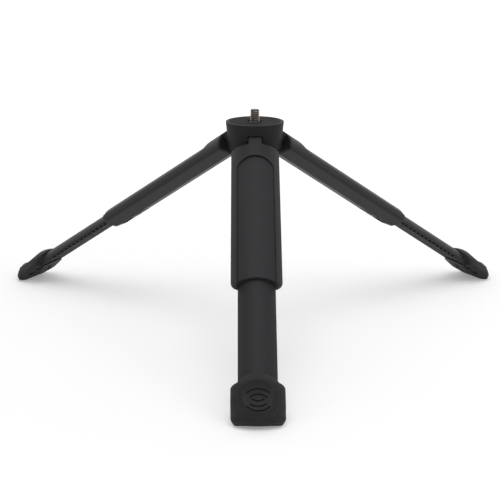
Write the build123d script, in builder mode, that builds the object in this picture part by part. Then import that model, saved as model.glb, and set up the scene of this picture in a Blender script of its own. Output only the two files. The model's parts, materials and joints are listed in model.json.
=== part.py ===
"""Pocket tripod stand with three folding, telescoping legs and a threaded stud for a microphone clip.

Lengths are millimetres. +Z is up, and the origin is the centre of the seat, where the stud leaves it.
The legs stand open. Each leg piece is drawn on the front leg, which leans out toward -Y, and is then
turned about Z onto the other legs. On a leg, t runs down along it from the hinge, n runs outward from the
axis that the folded legs share, and s runs across it.
"""

import os
from math import asin, cos, radians, sin, sqrt, tan

from build123d import *

os.makedirs("parts", exist_ok=True)

# Legs: three sectors of one circle, which close into a round bundle under the hub
leg_turns = {"front": 0, "right": 120, "left": 240}
leg_lean = 56.8  # open leg from the vertical
sector_half = 60  # half the angle that one leg fills when folded
bundle_radius = 18.6
leg_gap = 0.5  # between the flanks of folded neighbours
running_fit = 0.05  # radial, round every turning pin
still_fit = 0.02  # round what stays put

# Seat and stud
pad_thickness = 1.9
pad_proud = 0.3  # pad top above the hub's rim
pad_lip = 2.2  # rim wall round the pad
pad_gap = 0.15
pad_eye = 4.8  # hole that leaves a ring round the stud
pad_rib_pitch = 1.6
pad_rib_groove = 0.7
pad_rib_depth = 0.45
pad_rib_turn = -16
stud_radius = 3.175
stud_length = 7.35
stud_chamfer = 0.7
stud_neck = 0.4  # radius that the shank loses below the seat
stud_slot_width = 1.1
stud_slot_depth = 1.3
head_across = 10.0
head_height = 4.0

# Hub
hub_radius = 19.0
hub_height = 17.5
hub_taper = 1.8  # radius lost from rim to base
rim_round = 0.5
base_round = 0.8
deck_thickness = 2.3
hinge_radius = 11.0  # hinge line from the tripod's axis
hinge_drop = 11.35  # hinge line below the seat
hinge_pin_radius = 1.5
hinge_pin_length = 18.0
eye_radius = 3.6  # round the hinge in the leg's tongue
eye_gap = 0.1  # eye to the hub's core
stop_gap = 0.5  # open leg's stop face to the slot's roof
tongue_width = 8.2
washer_thickness = 0.6
washer_radius = 2.8
washer_play = 0.15
cap_thickness = 2.0
cap_wall = 1.6  # hub wall outside the cap
cap_gap = 0.1
post_width = 2.6
post_gap = 0.3
hub_screw_reach = 11.0  # tripod's axis to each screw
screw_radius = 1.1
screw_head_radius = 2.1
screw_head_height = 1.0
screw_sink = 0.2  # head below the face it sits in
screw_bite = 6.0
screw_drive_width = 0.6
screw_drive_depth = 0.5

# Sleeve: the fixed upper half of a leg
shoulder = 9.2  # hinge line to the sleeve's full section
sleeve_length = 111.3
lobe_length = 2.2  # sides of the sleeve's end beyond its middle
lobe_round = 3.0
sleeve_corner = 1.6
shoulder_round = 1.4
keel = 3.6  # inner face from the bundle's axis
panel_half = 11.6
panel_radius = 23.0
panel_depth = 1.35
panel_start = 11.1  # shoulder to the top of the panel's arch
arch_radius = 13.5
arch_round = 5.0
cavity_start = 12.8  # shoulder to the cavity's blind end
trough_half = 7.5
trough_floor = 1.4
trough_length = 70.0

# Inner leg: the sliding half
slide_gap = 0.25
tube_crown = 15.4
tube_crown_radius = 14.5
tube_half = 11.15
tube_keel = 7.6
tube_wall = 1.5
tube_corner = 1.0
tube_edge = 1.2
tube_top_hidden = 42.5  # length that stays inside the sleeve
tube_bare = 73.0  # sleeve's end to the foot's full section
rung_pitch = 4.2
rung_thickness = 1.5
rung_height = 2.4
window_count = 17
window_length = 2.1
window_height = 1.2
window_rail = 0.6

# Latch: a rocker in the sleeve's inner face
latch_pivot_back = 13.5  # sleeve's end back to the rocker's pin
latch_pivot_depth = 1.6  # pin centre inside the sleeve's inner face
latch_pin_radius = 1.0
latch_pin_length = 11.6
latch_eye_wall = 0.7
latch_thumb = 11.2  # pin to the thumb end
latch_reach = 10.6  # pin to the toothed end
latch_half = 4.3
latch_nose_half = 3.0
latch_gap = 0.3
latch_proud = 0.3
latch_plate = 1.4
latch_nose_sink = 0.8
latch_tooth = 1.3
latch_tooth_gap = 0.3
latch_press = 7.0  # degrees
latch_grip_pitch = 1.8
latch_grip_depth = 0.4
latch_spring_strip = 0.25
latch_spring_width = 5.0
latch_spring_span = 6.4

# Foot
foot_length = 27.5  # full section, mouth to toe
foot_corner = 1.8
foot_socket = 6.5  # inner leg inside the foot's full section
foot_fit = 0.12
foot_crest = 18.1
foot_edge = 0.8  # cap's edge above the inner leg's crown
foot_arch = 5.0  # mouth's middle before its sides
foot_arch_half = 11.6
foot_horn_round = 2.2  # outer corners of the mouth
foot_sole = 4.9
foot_heel_rise = 1.8  # sole's level at the mouth above the flat sole
foot_screw_sink = 0.8  # screw head above the flat sole
foot_screw_back = 2.5  # inner leg's end back to the screw
foot_toe_crest = 17.8
foot_toe_back = 7.5  # toe back to where its rounding starts
foot_toe_bow = 5.0  # toe's middle beyond its corners
foot_toe_corner = 5.0
foot_tip = 12.0
foot_pad_thickness = 1.6
foot_pad_half = 9.0
foot_pad_back = 21.0  # toe back to the pad's heel
foot_pad_step = 0.9
waist_back = 9.5
waist_rise = 0.5
ball_back = 4.8
ball_rise = 1.4
dish_radius = 28.9
dish_floor = 16.0
dish_back = 15.2  # toe back to the thumb dish's deepest line
groove_backs = (21.2, 18.0, 13.7, 9.9, 6.3)  # toe back to the middle of each groove
groove_halves = (5.9, 4.5, 3.15, 4.4, 6.0)
groove_bows = (-2.3, -2.0, 1.2, 1.6, 3.3)  # middle beyond its ends, toward the toe
groove_width = 1.1
groove_depth = 0.5
pocket_length = 5.6
pocket_width = 3.0
pocket_depth = 0.55
pocket_pitch = 8.2
pocket_back = 20.8  # toe back to the middle of a flank's two pockets
pocket_run = 14.0  # bundle's axis to the pockets, along the flank

# Places that follow from the sizes above
rim_top = -pad_proud
hub_base = rim_top - hub_height
deck_top = -pad_thickness
head_top = deck_top - deck_thickness
head_base = head_top - head_height
slot_roof = -hinge_drop + eye_radius + stop_gap
core_radius = hinge_radius - eye_radius - eye_gap
slot_half = tongue_width / 2 + washer_play + washer_thickness
cap_radius = hub_radius - hub_taper - cap_wall
cap_top = hub_base + cap_thickness
sleeve_end = shoulder + sleeve_length
tube_top = sleeve_end - tube_top_hidden
foot_mouth = sleeve_end + tube_bare
foot_toe = foot_mouth + foot_length
tube_end = foot_mouth + foot_socket
tube_crown_centre = tube_crown - tube_crown_radius
latch_pivot = (sleeve_end - latch_pivot_back, keel + latch_pivot_depth)
latch_eye = latch_pin_radius + running_fit + latch_eye_wall
latch_plate_top = keel - latch_proud + latch_plate
latch_roof = latch_plate_top + (latch_thumb + latch_plate) * sin(radians(latch_press)) + still_fit
rung_first = tube_top + rung_pitch / 2
rung_count = int((foot_mouth - rung_first) / rung_pitch)
foot_screw_place = tube_end - foot_screw_back
foot_screw_base = foot_sole + foot_screw_sink
dish_centre = (foot_toe - dish_back, dish_floor + dish_radius)

# The front leg's own planes
lean = radians(leg_lean)
outward = Vector(0, -cos(lean), sin(lean))
downleg = Vector(0, -sin(lean), -cos(lean))
apex = Vector(0, -hinge_radius, -hinge_drop) - outward * hinge_radius
section = Plane(origin=apex, x_dir=(1, 0, 0), z_dir=downleg)  # (s, n)
profile = Plane(origin=apex, x_dir=downleg, z_dir=(-1, 0, 0))  # (t, n)
plan = Plane(origin=apex, x_dir=(-1, 0, 0), z_dir=outward)  # (s, t)
leg_axis = Axis(apex, downleg)


def flank(height):
    """Returns how far out a leg's flank lies at a height n above the bundle's axis."""
    half = radians(sector_half)
    return height * tan(half) - leg_gap / 2 / cos(half)


def widest(corner):
    """Returns the half width of a leg's section whose outer corners have this radius."""
    swing = asin((leg_gap / 2 + corner) / (bundle_radius - corner))
    return (bundle_radius - corner) * sin(radians(sector_half) - swing) + corner


def draw_sector(corner, bottom):
    """Draws one leg's share of the bundle: crown, two flanks and an inner face at the height bottom."""
    top = bundle_radius
    Circle(bundle_radius)
    corners = [(flank(bottom), bottom), (flank(top), top), (-flank(top), top), (-flank(bottom), bottom)]
    Polygon(*corners, align=None, mode=Mode.INTERSECT)
    fillet(vertices().group_by(Axis.Y)[-1], corner)


def draw_tube(gap):
    """Draws the inner leg's outer section, grown all round by a gap."""
    with Locations((0, tube_crown_centre)):
        Circle(tube_crown_radius + gap)
    with Locations((0, tube_keel - gap)):
        Rectangle(2 * (tube_half + gap), bundle_radius, align=(Align.CENTER, Align.MIN), mode=Mode.INTERSECT)
    fillet(vertices().group_by(Axis.Y)[-1], tube_edge + gap)
    fillet(vertices().group_by(Axis.Y)[0], tube_corner)


def write_piece(name, solid, turn=0):
    """Turns a finished piece about Z, labels it and writes its STEP file."""
    with BuildPart() as placed:
        add(solid, rotation=(0, 0, turn))
    placed.part.label = name
    export_step(placed.part, f"parts/{name}.step")


def write_leg_pieces(name, solid):
    """Writes one copy of a piece for each leg."""
    for leg, turn in leg_turns.items():
        write_piece(f"{name}_{leg}", solid, turn)


# Hinge pin groove: open toward the hub's base, so the pin drops in before the cap goes on
with BuildPart() as pin_groove:
    with BuildSketch(Plane.YZ):
        with Locations((-hinge_radius, -hinge_drop)):
            Circle(hinge_pin_radius + still_fit)
            groove_across = 2 * (hinge_pin_radius + still_fit)
            Rectangle(groove_across, -hinge_drop - cap_top, align=(Align.CENTER, Align.MAX))
    extrude(amount=hinge_pin_length / 2 + cap_gap, both=True)

# Hub body: a tapered drum with a sunk seat, three leg slots and a recess for the cap
with BuildPart() as hub_body:
    with BuildSketch(Plane.XZ):
        with BuildLine():
            Polyline(
                (0, rim_top),
                (hub_radius, rim_top),
                (hub_radius - hub_taper, hub_base),
                (0, hub_base),
                close=True,
            )
        make_face()
    revolve(axis=Axis.Z)
    rims = hub_body.edges().filter_by(GeomType.CIRCLE).sort_by(Axis.Z)
    fillet(rims[-1], rim_round)
    fillet(hub_body.edges().filter_by(GeomType.CIRCLE).sort_by(Axis.Z)[0], base_round)
    with BuildSketch(Plane.XY.offset(deck_top)):
        Circle(hub_radius - pad_lip)
    extrude(amount=pad_thickness, mode=Mode.SUBTRACT)
    with BuildSketch(Plane.XY.offset(hub_base)):
        Circle(cap_radius + cap_gap)
    extrude(amount=cap_thickness, mode=Mode.SUBTRACT)
    with BuildSketch(Plane.XY.offset(slot_roof)):
        with PolarLocations(core_radius, 3, start_angle=-90):
            Rectangle(hub_radius, 2 * slot_half, align=(Align.MIN, Align.CENTER))
    extrude(amount=hub_base - slot_roof, mode=Mode.SUBTRACT)
    with BuildSketch(Plane.XY.offset(head_top)):
        RegularPolygon(head_across / 2 + still_fit, 6, major_radius=False)
    extrude(amount=cap_top - head_top, mode=Mode.SUBTRACT)
    with BuildSketch(Plane.XY.offset(deck_top)):
        Circle(stud_radius - stud_neck + still_fit)
    extrude(amount=-deck_thickness, mode=Mode.SUBTRACT)
    with BuildSketch(Plane.XY.offset(cap_top)):
        with PolarLocations(hub_screw_reach, 3, start_angle=90):
            Circle(screw_radius + still_fit)
    extrude(amount=screw_bite + screw_head_height, mode=Mode.SUBTRACT)

    for turn in leg_turns.values():
        add(pin_groove.part, rotation=(0, 0, turn), mode=Mode.SUBTRACT)
write_piece("hub_body", hub_body.part)

# Seat pad: a soft disc with slanting ribs, standing just above the rim
with BuildPart() as top_pad:
    with BuildSketch(Plane.XY.offset(deck_top)):
        Circle(hub_radius - pad_lip - pad_gap)
        Circle(pad_eye, mode=Mode.SUBTRACT)
    extrude(amount=pad_thickness)
    rib_spread = 2 * (hub_radius - pad_lip)
    with BuildSketch(Plane.XY.rotated((0, 0, pad_rib_turn))):
        with GridLocations(pad_rib_pitch, 1, int(rib_spread / pad_rib_pitch), 1):
            Rectangle(pad_rib_groove, rib_spread)
    extrude(amount=-pad_rib_depth, mode=Mode.SUBTRACT)
write_piece("top_pad", top_pad.part)

# Stud: a slotted 1/4 in screw whose hexagon head is trapped under the deck
with BuildPart() as mount_stud:
    with BuildSketch(Plane.XY.offset(head_base)):
        RegularPolygon(head_across / 2, 6, major_radius=False)
    extrude(amount=head_height)
    with BuildSketch(Plane.XY.offset(head_top)):
        Circle(stud_radius - stud_neck)
    extrude(amount=-head_top)
    with BuildSketch(Plane.XY):
        Circle(stud_radius)
    extrude(amount=stud_length)
    chamfer(mount_stud.edges().filter_by(GeomType.CIRCLE).sort_by(Axis.Z)[-1], stud_chamfer)
    with BuildSketch(Plane.XY.offset(stud_length)):
        Rectangle(2 * stud_radius, stud_slot_width)
    extrude(amount=-stud_slot_depth, mode=Mode.SUBTRACT)
write_piece("mount_stud", mount_stud.part)

# Hub cap: closes the base, holds the stud's head up and keeps the hinge pins in their grooves
with BuildPart() as cap_posts:
    post_start = slot_half + post_gap
    post_end = hinge_pin_length / 2
    with BuildSketch(Plane.XY.offset(cap_top)):
        with Locations((0, -hinge_radius)):
            with GridLocations(post_start + post_end, 1, 2, 1):
                Rectangle(post_end - post_start, post_width)
    extrude(amount=-hinge_drop - hinge_pin_radius - still_fit - cap_top)

with BuildPart() as hub_cap:
    with BuildSketch(Plane.XY.offset(hub_base)):
        Circle(cap_radius)
        with PolarLocations(core_radius, 3, start_angle=-90):
            Rectangle(hub_radius, 2 * slot_half, align=(Align.MIN, Align.CENTER), mode=Mode.SUBTRACT)
    extrude(amount=cap_thickness)
    with BuildSketch(Plane.XY.offset(cap_top)):
        Circle(head_across / 2 - cap_gap)
    extrude(amount=head_base - cap_top)
    for turn in leg_turns.values():
        add(cap_posts.part, rotation=(0, 0, turn))
    with Locations(Plane.XY.offset(hub_base).rotated((180, 0, 0))):
        with PolarLocations(hub_screw_reach, 3, start_angle=-90):
            CounterBoreHole(
                radius=screw_radius + still_fit,
                counter_bore_radius=screw_head_radius + still_fit,
                counter_bore_depth=screw_head_height + screw_sink,
            )
write_piece("hub_cap", hub_cap.part)


def draw_screw(base, length):
    """Draws half of a pan screw's section, with its head's face at the height base."""
    neck = base + screw_head_height
    Polyline(
        (0, base),
        (screw_head_radius, base),
        (screw_head_radius, neck),
        (screw_radius, neck),
        (screw_radius, neck + length),
        (0, neck + length),
        close=True,
    )


with BuildPart() as screw:
    with BuildSketch(Plane.XZ):
        with BuildLine():
            draw_screw(0, screw_bite)
        make_face()
    revolve(axis=Axis.Z)
    with BuildSketch(Plane.XY):
        Rectangle(screw_drive_width, 1.2 * screw_head_radius)
        Rectangle(1.2 * screw_head_radius, screw_drive_width)
    extrude(amount=screw_drive_depth, mode=Mode.SUBTRACT)

with BuildPart() as hub_screws:
    with PolarLocations(hub_screw_reach, 3, start_angle=90):
        with Locations((0, 0, hub_base + screw_sink)):
            add(screw.part)
write_piece("hub_screws", hub_screws.part)

# Hinge pin, and a friction washer on each side of the tongue
with BuildPart() as hinge_pin:
    with BuildSketch(Plane.YZ):
        with Locations((-hinge_radius, -hinge_drop)):
            Circle(hinge_pin_radius)
    extrude(amount=hinge_pin_length / 2, both=True)
write_leg_pieces("hinge_pin", hinge_pin.part)

with BuildPart() as hinge_washers:
    for side in (-1, 1):
        with BuildSketch(Plane.YZ.offset(side * slot_half)):
            with Locations((-hinge_radius, -hinge_drop)):
                Circle(washer_radius)
                Circle(hinge_pin_radius + running_fit, mode=Mode.SUBTRACT)
        extrude(amount=-side * washer_thickness)
write_leg_pieces("hinge_washers", hinge_washers.part)

# Tongue: the eye on the hinge pin, its stop face level when the leg stands open
with BuildPart() as tongue:
    eye = (0, hinge_radius)
    stop_start = (-eye_radius * cos(lean), hinge_radius + eye_radius * sin(lean))
    stop_run = (bundle_radius - stop_start[1]) / cos(lean)
    stop_end = (stop_start[0] + stop_run * sin(lean), bundle_radius)
    with BuildSketch(profile):
        with BuildLine():
            ThreePointArc((0, hinge_radius - eye_radius), (-eye_radius, hinge_radius), stop_start)
            Polyline(
                stop_start,
                stop_end,
                (shoulder + shoulder_round, bundle_radius),
                (shoulder + shoulder_round, hinge_radius - eye_radius),
                (0, hinge_radius - eye_radius),
            )
        make_face()
    extrude(amount=tongue_width / 2, both=True)
    with BuildSketch(section.offset(-eye_radius)):
        Circle(bundle_radius)
    extrude(amount=2 * eye_radius + shoulder + shoulder_round, mode=Mode.INTERSECT)
    with BuildSketch(profile):
        with Locations(eye):
            Circle(hinge_pin_radius + running_fit)
    extrude(amount=tongue_width, both=True, mode=Mode.SUBTRACT)

# Panel: the shallow arch-topped recess in the sleeve's crown
with BuildPart() as panel:
    arch_top = shoulder + panel_start
    arch_fall = arch_radius - sqrt(arch_radius**2 - panel_half**2)
    with BuildSketch(plan):
        with BuildLine():
            ThreePointArc(
                (-panel_half, arch_top + arch_fall), (0, arch_top), (panel_half, arch_top + arch_fall)
            )
            Polyline(
                (panel_half, arch_top + arch_fall),
                (panel_half, sleeve_end + lobe_length),
                (-panel_half, sleeve_end + lobe_length),
                (-panel_half, arch_top + arch_fall),
            )
        make_face()
        fillet(vertices().group_by(Axis.Y)[0], arch_round)
    extrude(amount=2 * bundle_radius)
    with BuildSketch(section.offset(shoulder)):
        with Locations((0, bundle_radius - panel_depth - panel_radius)):
            Circle(panel_radius)
    extrude(amount=sleeve_length + lobe_length, mode=Mode.SUBTRACT)

# Sleeve: one sector of the bundle, cored out for the inner leg
with BuildPart() as leg_sleeve:
    with BuildSketch(section.offset(shoulder)):
        draw_sector(sleeve_corner, keel)
    extrude(amount=sleeve_length + lobe_length)
    top_edges = leg_sleeve.faces().sort_by(leg_axis)[0].edges().sort_by(Axis(apex, outward))[1:]
    fillet(top_edges, shoulder_round)
    lobe_half = widest(sleeve_corner)
    lobe_end = sleeve_end + lobe_length
    with BuildSketch(plan):
        with BuildLine():
            ThreePointArc((-lobe_half, lobe_end), (0, sleeve_end), (lobe_half, lobe_end))
            Polyline((lobe_half, lobe_end), (lobe_half, 0), (-lobe_half, 0), (-lobe_half, lobe_end))
        make_face()
        fillet(vertices().group_by(Axis.Y)[-1], lobe_round)
    extrude(amount=2 * bundle_radius, mode=Mode.INTERSECT)
    add(panel.part, mode=Mode.SUBTRACT)
    with BuildSketch(section.offset(shoulder + cavity_start)):
        draw_tube(slide_gap)
    extrude(amount=sleeve_length, mode=Mode.SUBTRACT)
    with BuildSketch(section.offset(shoulder + cavity_start)):
        with Locations((0, keel + trough_floor)):
            Rectangle(2 * trough_half, tube_keel - keel - trough_floor, align=(Align.CENTER, Align.MIN))
    extrude(amount=trough_length, mode=Mode.SUBTRACT)
    pocket_start = latch_pivot[0] - latch_thumb - latch_gap
    pocket_end = latch_pivot[0] + latch_reach + latch_gap
    with BuildSketch(profile):
        with Locations((pocket_start, 0)):
            Rectangle(pocket_end - pocket_start, latch_roof, align=(Align.MIN, Align.MIN))
        with Locations((latch_pivot[0] - latch_eye - latch_gap, 0)):
            Rectangle(
                pocket_end - latch_pivot[0] + latch_eye + latch_gap, tube_keel, align=(Align.MIN, Align.MIN)
            )
    extrude(amount=latch_half + latch_gap, both=True, mode=Mode.SUBTRACT)
    with BuildSketch(profile):
        with Locations(latch_pivot):
            Circle(latch_pin_radius + still_fit)
    extrude(amount=latch_pin_length / 2 + still_fit, both=True, mode=Mode.SUBTRACT)
    add(tongue.part)
write_leg_pieces("leg_sleeve", leg_sleeve.part)

# Inner leg: a channel with a ladder of rungs, whose gaps open to windows in both walls
with BuildPart() as inner_leg:
    with BuildSketch(section.offset(tube_top)):
        draw_tube(0)
    extrude(amount=tube_end - tube_top)
    with BuildSketch(section.offset(tube_top + tube_wall)):
        with Locations((0, tube_crown_centre)):
            Circle(tube_crown_radius - tube_wall)
        Rectangle(2 * (tube_half - tube_wall), 4 * bundle_radius, mode=Mode.INTERSECT)
    extrude(amount=foot_mouth - tube_top - tube_wall, mode=Mode.SUBTRACT)
    with BuildSketch(plan.offset(tube_keel)):
        with Locations((0, rung_first + (rung_count - 1) / 2 * rung_pitch)):
            with GridLocations(1, rung_pitch, 1, rung_count):
                Rectangle(2 * tube_half - tube_wall, rung_thickness)
    extrude(amount=rung_height)
    window_last = rung_first + (rung_count - 3.5) * rung_pitch
    with BuildSketch(profile):
        with Locations((window_last - (window_count - 1) / 2 * rung_pitch, tube_keel + window_rail)):
            with GridLocations(rung_pitch, 1, window_count, 1):
                Rectangle(window_length, window_height, align=(Align.CENTER, Align.MIN))
    extrude(amount=2 * tube_half, both=True, mode=Mode.SUBTRACT)
    with BuildSketch(plan.offset(foot_screw_base)):
        with Locations((0, foot_screw_place)):
            Circle(screw_radius + still_fit)
    extrude(amount=screw_head_height + screw_bite + still_fit, mode=Mode.SUBTRACT)
write_leg_pieces("inner_leg", inner_leg.part)

# Latch lever: the thumb end presses in, and the toothed end swings out of the ladder
with BuildPart() as latch_lever:
    thumb_face = keel - latch_proud
    nose_face = keel + latch_nose_sink
    nose_end = latch_pivot[0] + latch_reach
    tooth_tip = tube_keel - latch_tooth_gap
    with BuildSketch(profile):
        with BuildLine():
            Polyline(
                (latch_pivot[0] - latch_thumb, thumb_face),
                (latch_pivot[0] + latch_plate / 2, thumb_face),
                (latch_pivot[0] + 2 * latch_plate, nose_face),
                (nose_end, nose_face),
                (nose_end, tooth_tip),
                (nose_end - latch_tooth, tooth_tip),
                (nose_end - 2 * latch_tooth, nose_face + latch_plate),
                (latch_pivot[0], nose_face + latch_plate),
                (latch_pivot[0] - latch_eye, latch_plate_top),
                (latch_pivot[0] - latch_thumb, latch_plate_top),
                close=True,
            )
        make_face()
        with Locations(latch_pivot):
            Circle(latch_eye)
            Circle(latch_pin_radius + running_fit, mode=Mode.SUBTRACT)
    extrude(amount=latch_half, both=True)
    with BuildSketch(plan):
        with BuildLine():
            Polyline(
                (latch_half, latch_pivot[0] - latch_thumb),
                (latch_half, latch_pivot[0] + latch_eye),
                (latch_nose_half, latch_pivot[0] + 2 * latch_eye),
                (latch_nose_half, nose_end),
                (-latch_nose_half, nose_end),
                (-latch_nose_half, latch_pivot[0] + 2 * latch_eye),
                (-latch_half, latch_pivot[0] + latch_eye),
                (-latch_half, latch_pivot[0] - latch_thumb),
                close=True,
            )
        make_face()
    extrude(amount=bundle_radius, mode=Mode.INTERSECT)
    with BuildSketch(plan.offset(thumb_face)):
        with Locations((0, latch_pivot[0] - latch_thumb + 2.5 * latch_grip_pitch)):
            with GridLocations(1, latch_grip_pitch, 1, 4):
                Rectangle(2 * latch_half, latch_grip_pitch / 2)
    extrude(amount=latch_grip_depth, mode=Mode.SUBTRACT)
write_leg_pieces("latch_lever", latch_lever.part)

with BuildPart() as latch_pin:
    with BuildSketch(profile):
        with Locations(latch_pivot):
            Circle(latch_pin_radius)
    extrude(amount=latch_pin_length / 2, both=True)
write_leg_pieces("latch_pin", latch_pin.part)

# Latch spring: a bowed leaf between the pocket's roof and the thumb end
with BuildPart() as latch_spring:
    leaf = latch_spring_strip / 2 + still_fit
    leaf_start = latch_pivot[0] - latch_thumb + latch_grip_pitch
    with BuildSketch(profile):
        with BuildLine():
            ThreePointArc(
                (leaf_start, latch_roof - leaf),
                (leaf_start + latch_spring_span / 2, latch_plate_top + leaf),
                (leaf_start + latch_spring_span, latch_roof - leaf),
            )
        trace(line_width=latch_spring_strip)
    extrude(amount=latch_spring_width / 2, both=True)
write_leg_pieces("latch_spring", latch_spring.part)


def draw_sole(lift):
    """Draws the sole's curve from heel to toe, lifted into the foot."""
    Spline(
        (foot_toe - foot_pad_back, foot_sole + lift),
        (foot_toe - waist_back, foot_sole + waist_rise + lift),
        (foot_toe - ball_back - lift / 2, foot_sole + ball_rise + lift),
        (foot_toe - foot_pad_step - lift, foot_tip - foot_pad_step + lift / 2),
        tangents=[(1, 0), (1, 1.3)],
    )


def draw_below(lift):
    """Draws the outline of all that lies under the sole's curve, lifted into the foot."""
    draw_sole(lift)
    Polyline(
        (foot_toe - foot_pad_step - lift, foot_tip - foot_pad_step + lift / 2),
        (foot_toe + foot_length, foot_tip - foot_pad_step + lift / 2),
        (foot_toe + foot_length, -foot_length),
        (foot_toe - foot_pad_back, -foot_length),
        (foot_toe - foot_pad_back, foot_sole + lift),
    )


# Foot: one blank gives the cap and the soft sole let into it
with BuildPart() as foot_blank:
    mouth_top = foot_mouth - foot_arch
    toe_round = foot_toe - foot_toe_back
    toe_corner = foot_toe - foot_toe_bow
    foot_half = widest(foot_corner) + still_fit
    with BuildSketch(profile):
        with BuildLine():
            Spline(
                (mouth_top, tube_crown + foot_edge),
                (foot_mouth, foot_crest),
                (toe_round, foot_toe_crest),
                tangents=[(1, 0.6), (1, 0)],
            )
            EllipticalCenterArc(
                (toe_round, foot_tip), foot_toe_back, foot_toe_crest - foot_tip, start_angle=0, arc_size=90
            )
            Polyline((foot_toe, foot_tip), (foot_toe, 0), (mouth_top, 0), (mouth_top, tube_crown + foot_edge))
        make_face()
    revolve(axis=leg_axis)
    with BuildSketch(profile):
        with BuildLine():
            draw_sole(0)
            Polyline(
                (foot_toe - foot_pad_step, foot_tip - foot_pad_step),
                (foot_toe + foot_pad_step, foot_tip + foot_pad_step),
                (foot_toe + foot_pad_step, 2 * bundle_radius),
                (mouth_top - foot_pad_step, 2 * bundle_radius),
                (mouth_top - foot_pad_step, foot_sole + foot_heel_rise),
                (foot_mouth, foot_sole + foot_heel_rise),
                (foot_toe - foot_pad_back, foot_sole),
            )
        make_face()
    extrude(amount=bundle_radius, both=True, mode=Mode.INTERSECT)
    with BuildSketch(section.offset(mouth_top)):
        draw_sector(foot_corner, foot_sole)
    extrude(amount=foot_length + foot_arch, mode=Mode.INTERSECT)
    with BuildSketch(plan):
        with BuildLine():
            ThreePointArc((-foot_arch_half, foot_mouth), (0, mouth_top), (foot_arch_half, foot_mouth))
            Polyline((foot_arch_half, foot_mouth), (foot_half, foot_mouth), (foot_half, toe_corner))
            ThreePointArc((foot_half, toe_corner), (0, foot_toe + still_fit), (-foot_half, toe_corner))
            Polyline((-foot_half, toe_corner), (-foot_half, foot_mouth), (-foot_arch_half, foot_mouth))
        make_face()
        mouth_corners = vertices().group_by(Axis.Y)[0].sort_by(Axis.X)
        fillet([mouth_corners[0], mouth_corners[-1]], foot_horn_round)
        fillet(vertices().group_by(Axis.Y)[-1], foot_toe_corner)
    extrude(amount=2 * bundle_radius, mode=Mode.INTERSECT)

# Thumb dish, and the bowed grooves that follow its floor
with BuildPart() as foot_dish:
    with BuildSketch(profile):
        with Locations(dish_centre):
            Circle(dish_radius)
    extrude(amount=bundle_radius, both=True)

groove_lines = [
    ThreePointArc((-half, foot_toe - back - bow), (0, foot_toe - back), (half, foot_toe - back - bow))
    for back, half, bow in zip(groove_backs, groove_halves, groove_bows)
]
with BuildPart() as foot_grooves:
    with BuildSketch(plan):
        for line in groove_lines:
            SlotArc(line, groove_width)
    extrude(amount=2 * bundle_radius)
    with BuildSketch(profile):
        with Locations(dish_centre):
            Rectangle(4 * dish_radius, 4 * dish_radius)
            Circle(dish_radius + groove_depth, mode=Mode.SUBTRACT)
    extrude(amount=bundle_radius, both=True, mode=Mode.SUBTRACT)

# Grip pockets in the foot's two flanks
with BuildPart() as flank_pockets:
    half = radians(sector_half)
    for side in (-1, 1):
        facing = Vector(side * cos(half), 0, 0) - outward * sin(half)
        flank_face = Plane(origin=apex, x_dir=downleg, z_dir=facing)
        with BuildSketch(flank_face.offset(leg_gap)):
            with Locations((foot_toe - pocket_back, -side * pocket_run)):
                with GridLocations(pocket_pitch, 1, 2, 1):
                    RectangleRounded(pocket_length, pocket_width, pocket_depth)
        extrude(amount=-pocket_depth - 1.5 * leg_gap)

with BuildPart() as foot_pad:
    add(foot_blank.part)
    with BuildSketch(profile):
        with BuildLine():
            draw_below(foot_pad_thickness)
        make_face()
    extrude(amount=foot_pad_half, both=True, mode=Mode.INTERSECT)
write_leg_pieces("foot_pad", foot_pad.part)

with BuildPart() as foot_cap:
    add(foot_blank.part)
    with BuildSketch(profile):
        with BuildLine():
            draw_below(foot_pad_thickness + still_fit)
        make_face()
    extrude(amount=foot_pad_half + still_fit, both=True, mode=Mode.SUBTRACT)
    for cut in (foot_dish, foot_grooves, flank_pockets):
        add(cut.part, mode=Mode.SUBTRACT)
    with BuildSketch(section.offset(foot_mouth - foot_arch)):
        draw_tube(foot_fit)
    extrude(amount=foot_arch + foot_socket + foot_fit, mode=Mode.SUBTRACT)
    with BuildSketch(plan.offset(foot_sole)):
        with Locations((0, foot_screw_place)):
            Circle(screw_head_radius + still_fit)
    extrude(amount=foot_screw_sink + screw_head_height, mode=Mode.SUBTRACT)
    with BuildSketch(plan.offset(foot_sole)):
        with Locations((0, foot_screw_place)):
            Circle(screw_radius + still_fit)
    extrude(amount=tube_keel - foot_sole, mode=Mode.SUBTRACT)
write_leg_pieces("foot_cap", foot_cap.part)

with BuildPart() as foot_screw:
    screw_profile = Plane(origin=apex + downleg * foot_screw_place, x_dir=downleg, z_dir=profile.z_dir)
    with BuildSketch(screw_profile):
        with BuildLine():
            draw_screw(foot_screw_base, screw_bite)
        make_face()
    revolve(axis=Axis(screw_profile.origin, outward))
    with BuildSketch(plan.offset(foot_screw_base)):
        with Locations((0, foot_screw_place)):
            Rectangle(screw_drive_width, 1.2 * screw_head_radius)
            Rectangle(1.2 * screw_head_radius, screw_drive_width)
    extrude(amount=screw_drive_depth, mode=Mode.SUBTRACT)
write_leg_pieces("foot_screw", foot_screw.part)
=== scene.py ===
"""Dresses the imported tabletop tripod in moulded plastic, rubber and steel.

It cuts the stud's thread, moulds the seat pad's ribs, raises a ridge on each foot and builds a plain studio.
"""

import json
from math import radians

import bpy
import numpy as np
from bpy.props import FloatProperty, FloatVectorProperty, IntProperty, PointerProperty
from bpy.types import Operator, Panel, PropertyGroup
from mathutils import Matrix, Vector
from mathutils.bvhtree import BVHTree


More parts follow.
